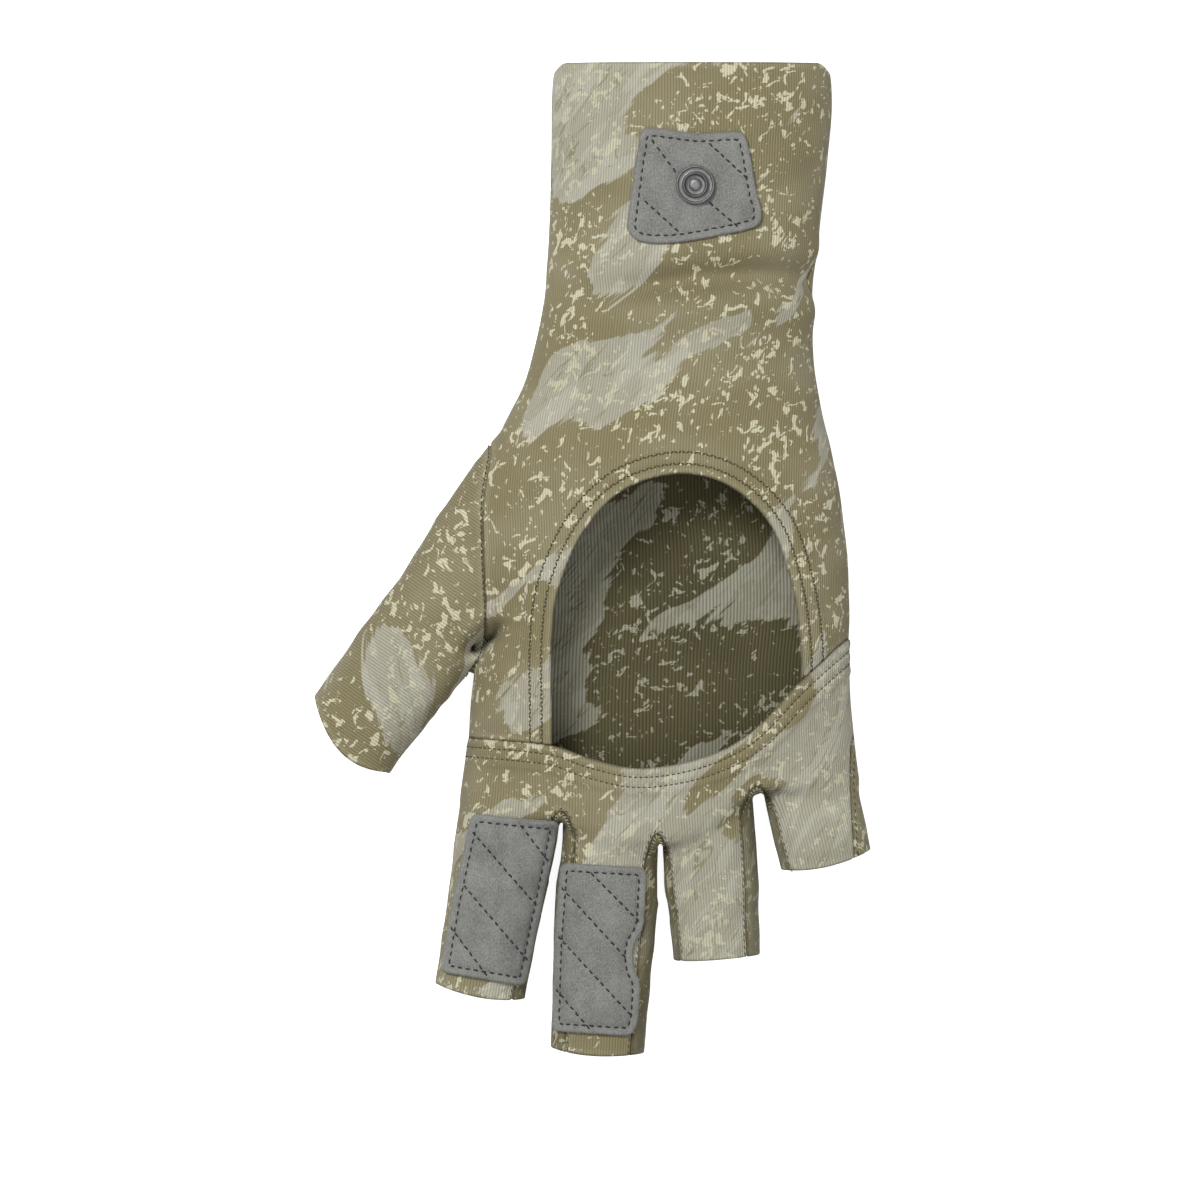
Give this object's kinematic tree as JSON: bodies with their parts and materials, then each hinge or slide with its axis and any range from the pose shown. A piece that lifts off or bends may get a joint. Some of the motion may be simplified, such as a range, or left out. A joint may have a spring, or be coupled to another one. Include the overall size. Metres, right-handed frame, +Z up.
{
  "type": "fishing glove",
  "caption": "Fingerless fishing glove for the right hand, lying palm up, with an open palm window, suede finger pads, and a suede patch with a metal snap at the cuff.",
  "frame": {"origin": "centre of the footprint's box, on the surface that the glove lies on", "axes": "+X from the thumb side to the little finger, +Y up the arm, +Z up from the surface, out of the palm"},
  "size_m": [0.1394, 0.2484, 0.0269],
  "materials": {
    "camo_fabric": "matte stretch knit with fine ribs and a printed camouflage in olive, taupe and cream",
    "side_fabric": "matte stretch knit, printed, between the fingers",
    "suede": "napped grey suede",
    "snap_metal": "dark satin plating"
  },
  "bodies": {
    "root": {"palm_panel": "camo_fabric", "back_panel": "camo_fabric", "finger_panel": "camo_fabric", "thumb_sleeve": "camo_fabric", "gusset_index_middle": "side_fabric", "gusset_middle_ring": "side_fabric", "gusset_ring_little": "side_fabric", "index_pad": "suede", "middle_pad": "suede", "wrist_patch": "suede", "snap_stud": "snap_metal", "snap_back": "snap_metal"}
  },
  "joints": []
}
